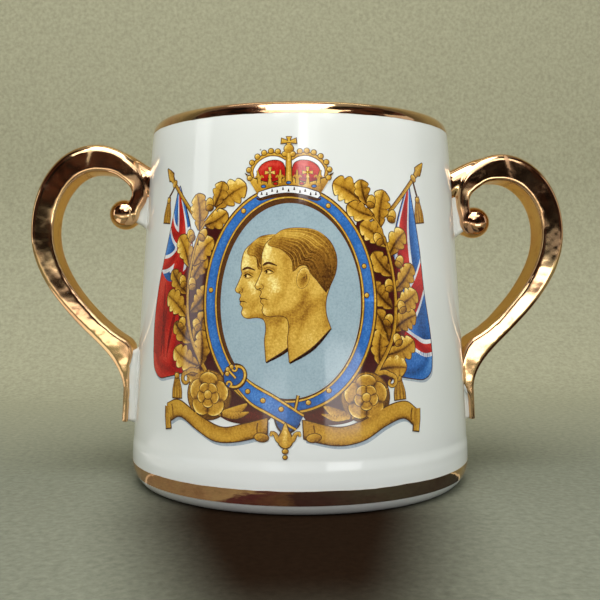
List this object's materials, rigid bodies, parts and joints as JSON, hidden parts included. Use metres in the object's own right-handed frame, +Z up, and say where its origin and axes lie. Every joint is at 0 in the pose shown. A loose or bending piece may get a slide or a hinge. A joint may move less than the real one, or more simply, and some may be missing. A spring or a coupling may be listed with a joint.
{
  "type": "commemorative cup",
  "caption": "Two-handled cup in glazed white earthenware, tapering gently to a gilt rim, with gilt scroll handles and a gilt line round the foot.",
  "frame": {"origin": "centre of the foot's resting face, on the surface that the cup stands on", "axes": "+Z up the cup's axis; the handles lie along X, the left one of the picture on -X; the printed front looks along -Y"},
  "size_m": [0.1248, 0.079, 0.0825],
  "materials": {
    "glaze": "gloss",
    "slip": "gloss",
    "gilt": "polished",
    "handle_gilt": "polished gilding over glaze"
  },
  "bodies": {
    "root": {"cup_body": "glaze", "rim_gilding": "gilt", "foot_gilding": "gilt", "left_handle": "handle_gilt", "left_upper_joint": "slip", "left_lower_joint": "slip", "right_handle": "handle_gilt", "right_upper_joint": "slip", "right_lower_joint": "slip"}
  },
  "joints": []
}
